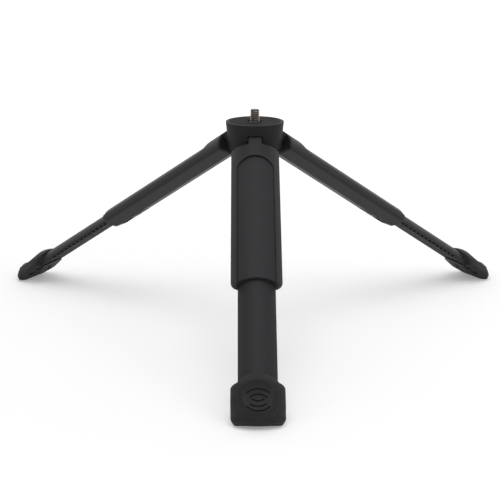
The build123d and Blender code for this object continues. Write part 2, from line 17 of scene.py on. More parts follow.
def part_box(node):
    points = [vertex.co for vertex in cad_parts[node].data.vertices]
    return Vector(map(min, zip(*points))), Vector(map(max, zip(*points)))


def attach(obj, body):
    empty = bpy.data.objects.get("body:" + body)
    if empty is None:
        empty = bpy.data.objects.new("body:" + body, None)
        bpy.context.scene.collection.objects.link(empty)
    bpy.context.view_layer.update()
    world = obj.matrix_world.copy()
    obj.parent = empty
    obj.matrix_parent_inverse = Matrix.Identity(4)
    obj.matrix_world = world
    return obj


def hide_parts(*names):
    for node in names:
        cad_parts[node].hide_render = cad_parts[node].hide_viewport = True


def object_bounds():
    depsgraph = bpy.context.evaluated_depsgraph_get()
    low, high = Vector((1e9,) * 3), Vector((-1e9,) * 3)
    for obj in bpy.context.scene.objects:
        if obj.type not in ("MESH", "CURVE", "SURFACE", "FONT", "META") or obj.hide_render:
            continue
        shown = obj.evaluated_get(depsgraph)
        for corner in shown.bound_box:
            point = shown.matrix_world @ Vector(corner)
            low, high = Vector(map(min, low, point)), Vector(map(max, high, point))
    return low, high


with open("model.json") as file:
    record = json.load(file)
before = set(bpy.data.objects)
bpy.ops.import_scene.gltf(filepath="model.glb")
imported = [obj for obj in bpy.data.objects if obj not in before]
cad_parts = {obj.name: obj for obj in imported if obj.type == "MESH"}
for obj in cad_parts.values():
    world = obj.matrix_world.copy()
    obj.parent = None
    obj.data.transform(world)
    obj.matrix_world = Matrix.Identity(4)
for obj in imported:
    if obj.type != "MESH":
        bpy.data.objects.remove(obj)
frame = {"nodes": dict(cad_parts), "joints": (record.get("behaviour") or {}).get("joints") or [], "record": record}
cad_low, cad_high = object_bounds()

bl_info = {
    "name": "Tabletop tripod dresser",
    "version": (1, 0, 0),
    "blender": (4, 5, 0),
    "location": "View3D > Sidebar > Tripod",
    "description": "Finishes the packed tripod, with its thread, ribs, ridges and studio",
    "category": "Object",
}

LEGS = ("front", "right", "left")
MM = 0.001
WHITE = (1.0, 1.0, 1.0, 1.0)
COLOUR = "NodeSocketColor"
NUMBER = "NodeSocketFloat"

# The stud's head, in shares of its width across flats: the width of its round end faces, and the height of
# its broken edges.
HEAD_END = 0.97
HEAD_EDGE = 0.04

# The thread: its rows of facets in one turn, the shares of the pitch that are flat root and flat crest, how
# much the flank is eased, and the share of the depth above which no painted shade darkens it.
ROWS_A_TURN = 26
ROOT_SHARE = 0.20
CREST_SHARE = 0.14
EASED_SHARE = 0.35
SHADE_FREE_FROM = 0.85

# Half the length of the slot's cutter, in radii of the stud.
OVERSHOOT = 1.3

# How far a rib's cosine is stretched about its middle before its ends are cut off.
RIB_STRETCH = 0.9

# The feet's ridges: the points along the curve and along each arm, the share of the path that tapers to each
# end, the share of the radius squared that is left at the very end, and how far out from the hinge the rays
# that look for the foot's skin start, in metres.
RIDGE_CURVE_POINTS = 101
RIDGE_ARM_POINTS = 10
RIDGE_TAPER = 0.125
RIDGE_TIP = 0.02
CLEAR_OUT = 0.05

# The hub's rim takes a painted highlight from the first of these below its top, and the full painted
# highlight from the second.
RIM_HIGHLIGHT_FROM = 0.5 * MM
RIM_HIGHLIGHT_FULL = 0.1 * MM

# Half the floor's width, in metres, and the shade of its darker mottles.
FLOOR_REACH = 6.0
FLOOR_MOTTLE = 0.99

# Each softbox's name, place, width and height, in metres.
SOFTBOXES = (
    ("top", (0.0, -0.1, 1.1), 1.0, 1.0),
    ("left", (-1.0, -0.6, 0.7), 0.8, 0.8),
    ("right", (1.0, -0.6, 0.7), 0.8, 0.8),
    ("back", (0.0, 1.6, 0.9), 3.4, 1.5),
)


def frame_joint(name):
    """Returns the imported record's joint of that name."""
    return next(j for j in frame["joints"] if j["name"] == name)


def frame_mount(name):
    """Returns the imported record's mount of that name."""
    return next(m for m in frame["record"]["mounts"] if m["name"] == name)


STUD_RADIUS = frame_mount("stud")["dims"]["r_mm"] * MM
FLOOR_LEVEL = cad_low.z


# ---------------------------------------------------------------- settings


class TripodFinish(PropertyGroup):
    """Colours and textures of the tripod's materials."""

    leg_colour: FloatVectorProperty(
        name="Leg plastic",
        description="Base colour of the sleeves and inner legs",
        subtype="COLOR",
        size=3,
        min=0.0,
        max=1.0,
        default=(0.0205, 0.0205, 0.0220),
    )
    hub_colour: FloatVectorProperty(
        name="Hub plastic",
        description="Base colour of the hub and its cap",
        subtype="COLOR",
        size=3,
        min=0.0,
        max=1.0,
        default=(0.0170, 0.0171, 0.0178),
    )
    foot_colour: FloatVectorProperty(
        name="Foot plastic",
        description="Base colour of the foot caps, their ridges and the latch levers",
        subtype="COLOR",
        size=3,
        min=0.0,
        max=1.0,
        default=(0.0190, 0.0191, 0.0197),
    )
    rubber_colour: FloatVectorProperty(
        name="Rubber",
        description="Base colour of the seat pad and the soles",
        subtype="COLOR",
        size=3,
        min=0.0,
        max=1.0,
        default=(0.0035, 0.0035, 0.0037),
    )
    steel_colour: FloatVectorProperty(
        name="Steel",
        description="Base colour of the pins and springs",
        subtype="COLOR",
        size=3,
        min=0.0,
        max=1.0,
        default=(0.70, 0.68, 0.64),
    )
    stud_colour: FloatVectorProperty(
        name="Stud steel",
        description="Base colour of the stud's warmer steel",
        subtype="COLOR",
        size=3,
        min=0.0,
        max=1.0,
        default=(0.42, 0.37, 0.33),
    )
    # Painted highlight: a paler colour laid along the top of the hub's rim, where light catches its edge.
    rim_highlight_colour: FloatVectorProperty(
        name="Painted rim highlight",
        description="Colour painted along the top of the hub's rim as a highlight",
        subtype="COLOR",
        size=3,
        min=0.0,
        max=1.0,
        default=(0.028, 0.029, 0.032),
    )
    worn_colour: FloatVectorProperty(
        name="Worn rubber",
        description="Colour of the tops of the pad's ribs, dusty from use",
        subtype="COLOR",
        size=3,
        min=0.0,
        max=1.0,
        default=(0.042, 0.041, 0.040),
    )
    washer_colour: FloatVectorProperty(
        name="Washers",
        description="Base colour of the plastic friction washers",
        subtype="COLOR",
        size=3,
        min=0.0,
        max=1.0,
        default=(0.62, 0.60, 0.55),
    )
    screw_colour: FloatVectorProperty(
        name="Black screws",
        description="Base colour of the blackened screws",
        subtype="COLOR",
        size=3,
        min=0.0,
        max=1.0,
        default=(0.05, 0.05, 0.055),
    )
    grain_size: FloatProperty(
        name="Grain size",
        description="Width of one grain of the moulded texture",
        default=0.35 * MM,
        min=0.05 * MM,
        max=3.0 * MM,
        subtype="DISTANCE",
        unit="LENGTH",
    )


class TripodStud(PropertyGroup):
    """Sizes of the stud's thread."""

    pitch: FloatProperty(
        name="Thread pitch",
        description="Rise of the thread in one turn, 20 turns to the inch",
        default=1.27 * MM,
        min=0.5 * MM,
        max=3.0 * MM,
        subtype="DISTANCE",
        unit="LENGTH",
    )
    depth: FloatProperty(
        name="Thread depth",
        description="Height of the crest above the root",
        default=0.62 * MM,
        min=0.1 * MM,
        max=1.0 * MM,
        subtype="DISTANCE",
        unit="LENGTH",
    )
    neck: FloatProperty(
        name="Neck radius",
        description="Radius of the plain shank inside the hub's deck",
        default=2.775 * MM,
        min=1.0 * MM,
        max=4.0 * MM,
        subtype="DISTANCE",
        unit="LENGTH",
    )
    chamfer: FloatProperty(
        name="Tip chamfer",
        description="Height of the cone at the tip",
        default=0.7 * MM,
        min=0.0,
        max=2.0 * MM,
        subtype="DISTANCE",
        unit="LENGTH",
    )
    head_height: FloatProperty(
        name="Head height",
        description="Height of the hexagon head under the deck",
        default=4.0 * MM,
        min=1.0 * MM,
        max=8.0 * MM,
        subtype="DISTANCE",
        unit="LENGTH",
    )
    slot_width: FloatProperty(
        name="Slot width",
        description="Width of the screwdriver slot across the tip",
        default=1.1 * MM,
        min=0.3 * MM,
        max=2.0 * MM,
        subtype="DISTANCE",
        unit="LENGTH",
    )
    slot_depth: FloatProperty(
        name="Slot depth",
        description="Depth of the screwdriver slot",
        default=1.3 * MM,
        min=0.3 * MM,
        max=3.0 * MM,
        subtype="DISTANCE",
        unit="LENGTH",
    )
    steps: IntProperty(
        name="Steps round",
        description="Facets round the thread",
        default=96,
        min=24,
        max=256,
    )


class TripodPad(PropertyGroup):
    """Sizes of the seat pad's ribs."""

    rib_pitch: FloatProperty(
        name="Rib pitch",
        description="Distance from one rib to the next",
        default=1.6 * MM,
        min=0.8 * MM,
        max=4.0 * MM,
        subtype="DISTANCE",
        unit="LENGTH",
    )
    rib_depth: FloatProperty(
        name="Rib depth",
        description="Height of the ribs above the floor of the grooves",
        default=0.45 * MM,
        min=0.1 * MM,
        max=1.5 * MM,
        subtype="DISTANCE",
        unit="LENGTH",
    )
    rib_turn: FloatProperty(
        name="Rib turn",
        description="How far the ribs lean to the right of straight back",
        default=radians(10.0),
        min=-radians(90.0),
        max=radians(90.0),
        subtype="ANGLE",
        unit="ROTATION",
    )
    eye: FloatProperty(
        name="Eye radius",
        description="Radius of the hole round the stud",
        default=4.8 * MM,
        min=3.3 * MM,
        max=10.0 * MM,
        subtype="DISTANCE",
        unit="LENGTH",
    )
    edge: FloatProperty(
        name="Edge",
        description="Size of the broken edges of the pad",
        default=0.15 * MM,
        min=0.02 * MM,
        max=0.5 * MM,
        subtype="DISTANCE",
        unit="LENGTH",
    )
    steps: IntProperty(
        name="Steps round",
        description="Facets round the pad",
        default=720,
        min=90,
        max=900,
    )
    rings: IntProperty(
        name="Rings",
        description="Rings of facets between the pad's edge and its eye",
        default=60,
        min=10,
        max=90,
    )


class TripodRidge(PropertyGroup):
    """Sizes of the soft ridge round each foot's dish, along the leg from its hinge."""

    half_width: FloatProperty(
        name="Half width",
        description="Half the distance between the ridge's two arms",
        default=10.8 * MM,
        min=5.0 * MM,
        max=14.0 * MM,
        subtype="DISTANCE",
        unit="LENGTH",
    )
    start: FloatProperty(
        name="Start",
        description="Distance from the hinge to the ends of the arms",
        default=197.0 * MM,
        min=150.0 * MM,
        max=250.0 * MM,
        subtype="DISTANCE",
        unit="LENGTH",
    )
    bend: FloatProperty(
        name="Bend",
        description="Distance from the hinge to where the arms start to close",
        default=198.0 * MM,
        min=150.0 * MM,
        max=250.0 * MM,
        subtype="DISTANCE",
        unit="LENGTH",
    )
    end: FloatProperty(
        name="End",
        description="Distance from the hinge to the middle of the ridge, under the dish",
        default=218.4 * MM,
        min=150.0 * MM,
        max=250.0 * MM,
        subtype="DISTANCE",
        unit="LENGTH",
    )
    fullness: FloatProperty(
        name="Fullness",
        description="Power of the curve that closes the arms: 2 is an ellipse, and more is squarer",
        default=3.1,
        min=1.0,
        max=6.0,
    )
    radius: FloatProperty(
        name="Radius",
        description="Radius of the ridge's round back",
        default=0.8 * MM,
        min=0.1 * MM,
        max=2.0 * MM,
        subtype="DISTANCE",
        unit="LENGTH",
    )
    sunk: FloatProperty(
        name="Sunk",
        description="How far the ridge's axis lies under the foot's skin",
        default=0.47 * MM,
        min=0.0,
        max=1.0 * MM,
        subtype="DISTANCE",
        unit="LENGTH",
    )
    steps: IntProperty(
        name="Steps round",
        description="Facets round the ridge",
        default=16,
        min=6,
        max=64,
    )


class TripodStudio(PropertyGroup):
    """The floor, lights and camera."""

    floor_colour: FloatVectorProperty(
        name="Floor",
        description="Colour of the floor and backdrop",
        subtype="COLOR",
        size=3,
        min=0.0,
        max=1.0,
        default=(0.80, 0.80, 0.80),
    )
    world_strength: FloatProperty(
        name="Surround light",
        description="Strength of the even light from all round",
        default=0.34,
        min=0.0,
        max=10.0,
    )
    horizon_strength: FloatProperty(
        name="Backdrop light",
        description="Strength of the white backdrop just above the table's far edge",
        default=1.0,
        min=0.0,
        max=10.0,
    )
    near_glow: FloatProperty(
        name="Glow under the tripod",
        description="Light that the lit table gives off under the tripod, which takes the shadows off it",
        default=0.26,
        min=0.0,
        max=5.0,
    )
    far_glow: FloatProperty(
        name="Glow far off",
        description="Light that the lit table gives off out where the softboxes don't reach",
        default=0.75,
        min=0.0,
        max=5.0,
    )
    top_power: FloatProperty(
        name="Top light",
        description="Power of the softbox overhead",
        default=5.6,
        min=0.0,
        max=500.0,
        subtype="POWER",
        unit="POWER",
    )
    right_power: FloatProperty(
        name="Right light",
        description="Power of the softbox on the right",
        default=3.6,
        min=0.0,
        max=500.0,
        subtype="POWER",
        unit="POWER",
    )
    left_power: FloatProperty(
        name="Left light",
        description="Power of the weaker softbox on the left",
        default=1.8,
        min=0.0,
        max=500.0,
        subtype="POWER",
        unit="POWER",
    )
    back_power: FloatProperty(
        name="Back light",
        description="Power of the wide softbox behind, which the edges of the legs reflect",
        default=15.0,
        min=0.0,
        max=500.0,
        subtype="POWER",
        unit="POWER",
    )
    camera_place: FloatVectorProperty(
        name="Camera place",
        description="Camera's place in front of the tripod",
        subtype="XYZ",
        unit="LENGTH",
        size=3,
        default=(-0.00922, -0.87226, 0.15283),
    )
    camera_turn: FloatVectorProperty(
        name="Camera turn",
        description="Camera's rotation, looking a little down",
        subtype="EULER",
        unit="ROTATION",
        size=3,
        default=(radians(74.6), 0.0, radians(-0.40)),
    )
    lens: FloatProperty(
        name="Lens",
        description="Camera focal length",
        default=97.59,
        min=20.0,
        max=300.0,
        subtype="DISTANCE_CAMERA",
        unit="CAMERA",
    )


# ---------------------------------------------------------------- shading helpers


def add_node(tree, kind, inputs=None, **settings):
    """Adds a node to a tree, sets its properties, and then links or sets each input that is given."""
    node = tree.nodes.new(kind)
    for name, value in settings.items():
        setattr(node, name, value)
    for name, value in (inputs or {}).items():
        if isinstance(value, bpy.types.NodeSocket):
            tree.links.new(value, node.inputs[name])
        else:
            node.inputs[name].default_value = value
    return node


def maths(tree, operation, *values, clamp=False):
    """Adds a Math node and returns its output; each value is a number or a socket."""
    node = add_node(tree, "ShaderNodeMath", dict(enumerate(values)), operation=operation, use_clamp=clamp)
    return node.outputs[0]


def scaled(tree, colour, factor):
    """Returns a colour times a factor."""
    return add_node(tree, "ShaderNodeVectorMath", {0: colour, "Scale": factor}, operation="SCALE").outputs[0]


def ramped(tree, value, low, high, start=0.0, end=1.0, curve="LINEAR"):
    """Returns a value that runs from start to end, while the given one runs from low to high."""
    inputs = {"Value": value, "From Min": low, "From Max": high, "To Min": start, "To Max": end}
    return add_node(tree, "ShaderNodeMapRange", inputs, interpolation_type=curve).outputs["Result"]


def object_place(tree):
    """Returns the point's place in the object's own coordinates."""
    return add_node(tree, "ShaderNodeTexCoord").outputs["Object"]


def new_material(name):
    """Returns a new material that holds only a Principled shader, with its node tree and that shader."""
    material = bpy.data.materials.new(name)
    material.use_nodes = True
    tree = material.node_tree
    tree.nodes.clear()
    shader = add_node(tree, "ShaderNodeBsdfPrincipled")
    add_node(tree, "ShaderNodeOutputMaterial", {"Surface": shader.outputs["BSDF"]})
    return material, tree, shader


def base_colour(material):
    """Returns a material's Base Color socket and the output that feeds it."""
    shader = next(n for n in material.node_tree.nodes if n.type == "BSDF_PRINCIPLED")
    socket = shader.inputs["Base Color"]
    return socket, socket.links[0].from_socket


def new_group(name, inputs, outputs):
    """Returns a new shader node group and its input node.

    Inputs are rows of a socket's name, its type and its default. Outputs are rows of a name and a type.
    """
    group = bpy.data.node_groups.new(name, "ShaderNodeTree")
    for title, kind, value in inputs:
        socket = group.interface.new_socket(name=title, in_out="INPUT", socket_type=kind)
        socket.default_value = value
    for title, kind in outputs:
        group.interface.new_socket(name=title, in_out="OUTPUT", socket_type=kind)
    return group, add_node(group, "NodeGroupInput")


def grain_and_painted_shade_group():
    """Builds the fine moulded texture and the painted shade that the plastics share.

    Height is a fine cell pattern with some of a finer noise. Colour is the base colour lifted and lowered by
    a slow noise, and darkened by painted shade where little open air reaches it. Roughness is the base
    roughness with the same slow noise and a little of the cells.
    """
    name = "moulded grain"
    if name in bpy.data.node_groups:
        return bpy.data.node_groups[name]
    finer = 2.3
    fine_share = 0.4
    middle = 0.5
    colour_swing = 2.0
    cell_roughness = 0.08
    group, given = new_group(
        name,
        (
            ("Colour", COLOUR, (0.03, 0.03, 0.03, 1.0)),
            ("Grain Scale", NUMBER, 2000.0),
            ("Roughness", NUMBER, 0.5),
            ("Variation", NUMBER, 0.12),
            ("Open Air", NUMBER, 1.0),
        ),
        (("Colour", COLOUR), ("Roughness", NUMBER), ("Height", NUMBER)),
    )
    place = object_place(group)
    scale = given.outputs["Grain Scale"]
    cells = add_node(
        group,
        "ShaderNodeTexVoronoi",
        {"Vector": place, "Scale": scale, "Smoothness": 0.6},
        feature="SMOOTH_F1",
    ).outputs["Distance"]
    fine_scale = maths(group, "MULTIPLY", scale, finer)
    fine = add_node(group, "ShaderNodeTexNoise", {"Vector": place, "Scale": fine_scale, "Detail": 2.0})
    slow = add_node(group, "ShaderNodeTexNoise", {"Vector": place, "Scale": 55.0, "Detail": 3.0})
    swing = maths(group, "SUBTRACT", slow.outputs["Fac"], middle)
    amount = maths(group, "MULTIPLY", swing, given.outputs["Variation"])
    tint = scaled(group, given.outputs["Colour"], maths(group, "MULTIPLY_ADD", amount, colour_swing, 1.0))
    # Painted shade: the colour falls to a tenth where little open air reaches it.
    painted_shade_factor = ramped(group, given.outputs["Open Air"], low=0.35, high=0.75, start=0.1)
    rough = maths(group, "ADD", given.outputs["Roughness"], amount)
    add_node(
        group,
        "NodeGroupOutput",
        {
            "Colour": scaled(group, tint, painted_shade_factor),
            "Roughness": maths(group, "MULTIPLY_ADD", cells, cell_roughness, rough, clamp=True),
            "Height": maths(group, "MULTIPLY_ADD", fine.outputs["Fac"], fine_share, cells),
        },
    )
    return group


def turned_steel_group():
    """Builds the turned finish that the metals share.

    Height follows fine rings along the z axis, and Roughness is the base roughness with a little of them.
    Colour is the base colour with a slow tarnish.
    """
    name = "turned steel"
    if name in bpy.data.node_groups:
        return bpy.data.node_groups[name]
    ring_roughness = 0.16
    group, given = new_group(
        name,
        (("Colour", COLOUR, (0.7, 0.7, 0.7, 1.0)), ("Roughness", NUMBER, 0.3)),
        (("Colour", COLOUR), ("Roughness", NUMBER), ("Height", NUMBER)),
    )
    place = object_place(group)
    rings = add_node(
        group,
        "ShaderNodeTexWave",
        {"Vector": place, "Scale": 1500.0, "Distortion": 1.5, "Detail": 2.0},
        bands_direction="Z",
    ).outputs["Fac"]
    tarnish = add_node(group, "ShaderNodeTexNoise", {"Vector": place, "Scale": 420.0, "Detail": 4.0})
    bright = ramped(group, tarnish.outputs["Fac"], low=0.3, high=0.7, start=0.72)
    add_node(
        group,
        "NodeGroupOutput",
        {
            "Colour": scaled(group, given.outputs["Colour"], bright),
            "Roughness": maths(group, "MULTIPLY_ADD", rings, ring_roughness, given.outputs["Roughness"]),
            "Height": rings,
        },
    )
    return group


def dust_and_highlight_group():
    """Builds the dust and painted highlight laid over a colour, from none at a low height to full at a high one.
    """
    name = "worn tops"
    if name in bpy.data.node_groups:
        return bpy.data.node_groups[name]
    group, given = new_group(
        name,
        (
            ("Colour", COLOUR, (0.03, 0.03, 0.03, 1.0)),
            ("Worn Colour", COLOUR, (0.05, 0.05, 0.05, 1.0)),
            ("Low", NUMBER, 0.0),
            ("High", NUMBER, 1.0),
        ),
        (("Colour", COLOUR),),
    )
    height = add_node(group, "ShaderNodeSeparateXYZ", {0: object_place(group)}).outputs["Z"]
    mix = add_node(
        group,
        "ShaderNodeMix",
        {
            "Factor": ramped(group, height, low=given.outputs["Low"], high=given.outputs["High"]),
            "A": given.outputs["Colour"],
            "B": given.outputs["Worn Colour"],
        },
        data_type="RGBA",
    )
    add_node(group, "NodeGroupOutput", {"Colour": mix.outputs["Result"]})
    return group


def texture_shader(tree, shader, group, depth, values):
    """Places a texture group in a material and feeds its colour, roughness and height to the shader."""
    texture = add_node(tree, "ShaderNodeGroup", values, node_tree=group)
    bump = add_node(tree, "ShaderNodeBump", {"Distance": depth, "Height": texture.outputs["Height"]})
    tree.links.new(texture.outputs["Colour"], shader.inputs["Base Color"])
    tree.links.new(texture.outputs["Roughness"], shader.inputs["Roughness"])
    tree.links.new(bump.outputs["Normal"], shader.inputs["Normal"])


def moulded_material(name, colour, grain, roughness, depth, gloss=0.4, reach=2.5 * MM, cool=0.0):
    """Returns a moulded plastic or rubber with a fine grain of the given size and bump depth.

    Painted shade darkens it in grooves and pockets, as far as their walls within the reach hide the open air.
    The cooler it is, the bluer is its shine.
    """
    material, tree, shader = new_material(name)
    # Painted shade: ambient occlusion darkens the base colour in grooves and pockets.
    open_sky = add_node(tree, "ShaderNodeAmbientOcclusion", {"Distance": reach}, only_local=True, samples=8)
    values = {
        "Colour": (*colour, 1.0),
        "Grain Scale": 1.0 / grain,
        "Roughness": roughness,
        "Variation": 0.12,
        "Open Air": open_sky.outputs["AO"],
    }
    texture_shader(tree, shader, grain_and_painted_shade_group(), depth, values)
    shader.inputs["IOR"].default_value = 1.5
    shader.inputs["Specular IOR Level"].default_value = gloss
    shader.inputs["Specular Tint"].default_value = (1.0 - cool, 1.0 - cool, 1.0, 1.0)
    return material


def steel_material(name, colour, roughness, metallic=1.0):
    """Returns turned steel: fine rings of roughness along the axis and a slow tarnish."""
    material, tree, shader = new_material(name)
    values = {"Colour": (*colour, 1.0), "Roughness": roughness}
    texture_shader(tree, shader, turned_steel_group(), 0.01 * MM, values)
    shader.inputs["Metallic"].default_value = metallic
    return material


def lay_dust_and_highlight(material, low, high, colour):
    """Lays a second colour over a material where its surface stands above a height."""
    tree = material.node_tree
    socket, source = base_colour(material)
    values = {"Colour": source, "Worn Colour": (*colour, 1.0), "Low": low, "High": high}
    dust_and_highlight_node = add_node(tree, "ShaderNodeGroup", values, node_tree=dust_and_highlight_group())
    tree.links.new(dust_and_highlight_node.outputs["Colour"], socket)


def paint_root_shade(material, root, crest, darkest):
    """Darkens a material with painted shade toward a thread's roots on the z axis, by the distance from that axis.
    """
    tree = material.node_tree
    socket, source = base_colour(material)
    no_height = (1.0, 1.0, 0.0)
    flat = add_node(tree, "ShaderNodeVectorMath", {0: object_place(tree), 1: no_height}, operation="MULTIPLY")
    away = add_node(tree, "ShaderNodeVectorMath", {0: flat.outputs[0]}, operation="LENGTH")
    painted_shade_factor = ramped(tree, away.outputs["Value"], root, crest, start=darkest, curve="SMOOTHSTEP")
    tree.links.new(scaled(tree, source, painted_shade_factor), socket)


def dress(node, material):
    """Puts one material on every slot of a CAD node."""
    shown = frame["nodes"][node]
    if not shown.data.materials:
        shown.data.materials.append(material)
    for slot in shown.material_slots:
        slot.material = material


# ---------------------------------------------------------------- mesh helpers


def mesh_object(name, vertices, faces, smooth=True):
    """Makes a mesh object at the origin from an array of vertices and a list of faces."""
    mesh = bpy.data.meshes.new(name)
    mesh.from_pydata(np.asarray(vertices, float).tolist(), [], faces)
    mesh.update()
    if smooth:
        mesh.shade_smooth()
    piece = bpy.data.objects.new(name, mesh)
    bpy.context.scene.collection.objects.link(piece)
    return piece


def angles(columns):
    """Returns the angles of that many even steps round a circle."""
    return np.linspace(0.0, 2.0 * np.pi, columns, endpoint=False)


def band_faces(rows, columns, looped=False):
    """Returns the quads between the rows of a tube, and from its last row to its first where it is looped."""
    i, j = np.meshgrid(np.arange(rows if looped else rows - 1), np.arange(columns), indexing="ij")
    here = i * columns
    below = (i + 1) % rows * columns
    beside = (j + 1) % columns
    return np.stack([here + j, here + beside, below + beside, below + j], -1).reshape(-1, 4).tolist()


def capped_tube(rows, low_pole, high_pole):
    """Returns the vertices and faces of a tube given row by row, with each end fanned in to its pole."""
    count, columns = rows.shape[:2]
    here = np.arange(columns)
    after = (here + 1) % columns
    last = (count - 1) * columns
    pole = np.full(columns, count * columns)
    faces = band_faces(count, columns)
    faces += np.stack([after, here, pole], -1).tolist()
    faces += np.stack([last + here, last + after, pole + 1], -1).tolist()
    return np.concatenate([rows.reshape(-1, 3), [low_pole, high_pole]]), faces


def hexagon_head(across, low, high, neck, columns):
    """Returns the vertices of a hexagon head, row by row from its underside up to the neck's foot.

    The outline's distance from the axis is half the width across flats over the cosine of the angle from the
    middle of the nearest side. Both end faces are circles a little inside the sides.
    """
    angle = angles(columns)
    sixth = np.pi / 3.0
    flat = across / 2.0 / np.cos((angle + sixth / 2.0) % sixth - sixth / 2.0)
    end = np.full(columns, HEAD_END * across / 2.0)
    edge = HEAD_EDGE * across
    reach = np.stack([end, flat, flat, end, np.full(columns, neck)])
    height = np.array([low, low + edge, high - edge, high, high])[:, None]
    return np.stack([reach * np.cos(angle), reach * np.sin(angle), np.broadcast_to(height, reach.shape)], -1)


def thread_surface(radius, neck, pitch, depth, low, high, chamfer, columns):
    """Returns the vertices of a threaded shank, row by row from its foot to its tip.

    The radius is the crest's less the thread's depth, wherever the turn is at its root. The turn's phase is
    the height over the pitch less the angle over a whole turn, so the ridge climbs to the left as on any
    right-hand screw. Between root and crest the flank is mostly straight, and eased a little at both ends.
    Near the tip a cone at 45 degrees and near the foot a short run-out down to the neck cap that radius.
    """
    height = np.linspace(low, high, 1 + int(round((high - low) / pitch * ROWS_A_TURN)))[:, None]
    angle = angles(columns)[None, :]
    phase = (height / pitch - angle / (2.0 * np.pi)) % 1.0
    from_root = 2.0 * np.abs(phase - 0.5)
    rise = np.clip((from_root - ROOT_SHARE) / (1.0 - ROOT_SHARE - CREST_SHARE), 0.0, 1.0)
    eased = rise * rise * (3.0 - 2.0 * rise)
    rise = eased * EASED_SHARE + rise * (1.0 - EASED_SHARE)
    reach = radius - depth * (1.0 - rise)
    reach = np.minimum(reach, radius - (height - (high - chamfer)))
    reach = np.minimum(reach, neck + (height - low))
    x, y = reach * np.cos(angle), reach * np.sin(angle)
    return np.stack([x, y, np.broadcast_to(height, x.shape)], -1)


def cut_slot(piece, radius, top, width, depth):
    """Cuts a slot along the x axis across the top of a round piece, with a block that overshoots it."""
    length, side = OVERSHOOT * radius, width / 2.0
    corners = [
        (x, y, z)
        for z in (top - depth, top + side)
        for x, y in ((-length, -side), (length, -side), (length, side), (-length, side))
    ]
    faces = [(3, 2, 1, 0), (4, 5, 6, 7), (0, 1, 5, 4), (1, 2, 6, 5), (2, 3, 7, 6), (3, 0, 4, 7)]
    cutter = mesh_object("slot_cutter", corners, faces, smooth=False)
    cut = piece.modifiers.new("slot", "BOOLEAN")
    cut.operation = "DIFFERENCE"
    cut.solver = "EXACT"
    cut.object = cutter
    graph = bpy.context.evaluated_depsgraph_get()
    mesh = bpy.data.meshes.new_from_object(piece.evaluated_get(graph))
    piece.modifiers.clear()
    piece.data = mesh
    piece.data.shade_smooth()
    bpy.data.objects.remove(cutter)


def ribbed_ring(outer, inner, low, top, pitch, depth, turn, edge, columns, rings):
    """Returns a ribbed flat ring's vertices, row by row up its outer wall, over its top and down its eye.

    Across the ribs the height follows a cosine of the distance over the pitch, stretched and cut off at both
    ends, so that each rib has a flat top, sloping sides and a flat groove beside it. Across is measured at
    right angles to lines that lean by the turn from the y axis. Both walls stop short of the top by the edge.
    """
    angle = angles(columns)[None, :]
    top_rows = np.linspace(outer - edge, inner + edge, rings)
    reach = np.concatenate([[outer, outer], top_rows, [inner, inner]])[:, None]
    x, y = reach * np.cos(angle), reach * np.sin(angle)
    across = x * np.cos(turn) - y * np.sin(turn)
    rib = np.clip(0.5 + RIB_STRETCH * np.cos(2.0 * np.pi * across / pitch), 0.0, 1.0)
    z = top - depth * (1.0 - rib)
    z[[1, -2]] -= edge
    z[[0, -1]] = low
    return np.stack([x, y, z], -1)


def leg_axes(leg):
    """Returns a leg's hinge and the directions down, across and out from it, from the record's joints."""
    hinge = np.array(frame_joint(f"fold_{leg}")["pos_m"])
    across = np.array(frame_joint(f"fold_{leg}")["axis"])
    down = -np.array(frame_joint(f"extend_{leg}")["axis"])
    return hinge, down, across, np.cross(down, across)


def skin_depths(node, starts, inward):
    """Returns how far a CAD node's skin lies inward from each start, or not-a-number past its edge."""
    skin = BVHTree.FromObject(frame["nodes"][node], bpy.context.evaluated_depsgraph_get())
    found = [skin.ray_cast(Vector(p), Vector(inward))[3] for p in starts]
    return np.array([np.nan if d is None else d for d in found])


def ridge_plan(half_width, start, bend, end, fullness):
    """Returns a ridge's places across and down a foot, from the end of one arm to the end of the other.

    The arms run straight from the start to the bend. The curve between them is a superellipse: across is the
    half width times the cosine of an angle and down is the bend plus the distance to the end times its sine,
    each raised to two over the fullness.
    """
    angle = np.linspace(0.0, np.pi, RIDGE_CURVE_POINTS)
    power = 2.0 / fullness
    curve_across = half_width * np.sign(np.cos(angle)) * np.abs(np.cos(angle)) ** power
    curve_down = bend + (end - bend) * np.sin(angle) ** power
    arm_across = np.full(RIDGE_ARM_POINTS, half_width)
    arm_down = np.linspace(start, bend, RIDGE_ARM_POINTS, endpoint=False)
    across = np.concatenate([arm_across, curve_across, -arm_across])
    return across, np.concatenate([arm_down, curve_down, arm_down[::-1]])


def swept_ridge(path, out, radius, columns):
    """Returns the vertices of a round bar along a path, row by row, thinned toward both ends.

    Each row is a circle in the plane of the outward direction and the sideways direction, which is at right
    angles to the path and to the outward direction. Near an end its radius goes with the square root of the
    share of the path that lies beyond it.
    """
    along = np.gradient(path, axis=0)
    side = np.cross(along, out)
    side /= np.linalg.norm(side, axis=1)[:, None]
    lift = np.cross(side, along)
    lift /= np.linalg.norm(lift, axis=1)[:, None]
    share = np.linspace(0.0, 1.0, len(path))
    to_end = np.minimum(share, 1.0 - share)
    radii = radius * np.sqrt(np.clip(to_end / RIDGE_TAPER, RIDGE_TIP, 1.0))
    angle = angles(columns)[None, :, None]
    round_bar = np.cos(angle) * lift[:, None, :] + np.sin(angle) * side[:, None, :]
    return path[:, None, :] + radii[:, None, None] * round_bar


# ---------------------------------------------------------------- operators


